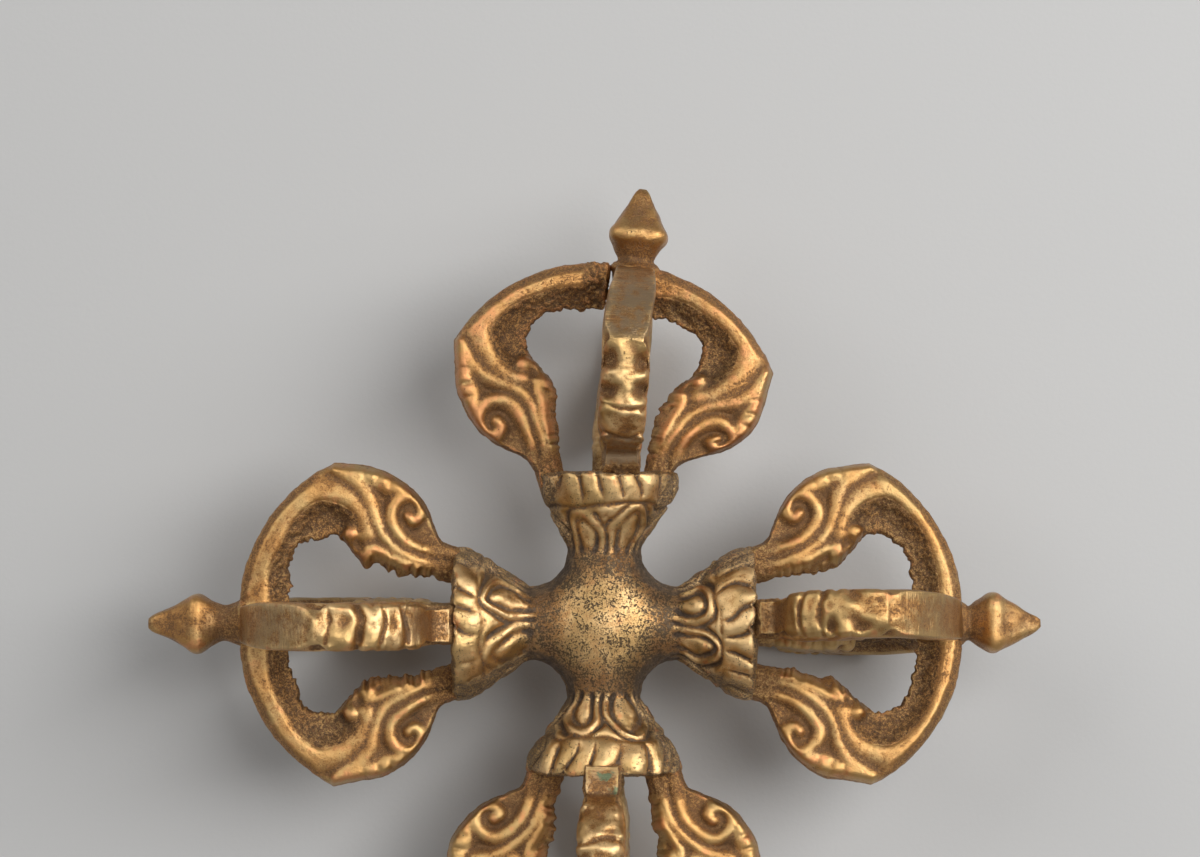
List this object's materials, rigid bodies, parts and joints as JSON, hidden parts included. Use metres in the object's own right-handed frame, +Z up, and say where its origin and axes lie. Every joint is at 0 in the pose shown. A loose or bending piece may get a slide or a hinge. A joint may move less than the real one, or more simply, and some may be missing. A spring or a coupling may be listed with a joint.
{
  "type": "double vajra",
  "caption": "Cast brass double vajra: a cross with a lotus collar and a cage of curled prongs under a pointed finial on each arm.",
  "frame": {"origin": "on the surface that the object lies on, below the middle of its outline", "axes": "+X along the right arm, +Y along the top arm, +Z up through the hub, away from the surface"},
  "size_m": [0.1, 0.0979, 0.0351],
  "materials": {
    "hub_brass": "worn golden brass, pitted dark speckle, brown patina in the carving",
    "prong_brass": "polished ridges over rough, dark brown cast walls",
    "filed_prong_brass": "filed and rubbed flats with brown patina in the hollows",
    "finial_brass": "satin worn brass with fine file marks"
  },
  "bodies": {
    "root": {"hub_cross": "hub_brass", "right_prong_upper": "prong_brass", "right_prong_lower": "prong_brass", "right_prong_front": "filed_prong_brass", "right_prong_rear": "filed_prong_brass", "right_finial": "finial_brass", "top_prong_left": "prong_brass", "top_prong_right": "prong_brass", "top_prong_front": "filed_prong_brass", "top_prong_rear": "filed_prong_brass", "top_finial": "finial_brass", "left_prong_upper": "prong_brass", "left_prong_lower": "prong_brass", "left_prong_front": "filed_prong_brass", "left_prong_rear": "filed_prong_brass", "left_finial": "finial_brass", "bottom_prong_left": "prong_brass", "bottom_prong_right": "prong_brass", "bottom_prong_front": "filed_prong_brass", "bottom_prong_rear": "filed_prong_brass", "bottom_finial": "finial_brass"}
  },
  "joints": []
}
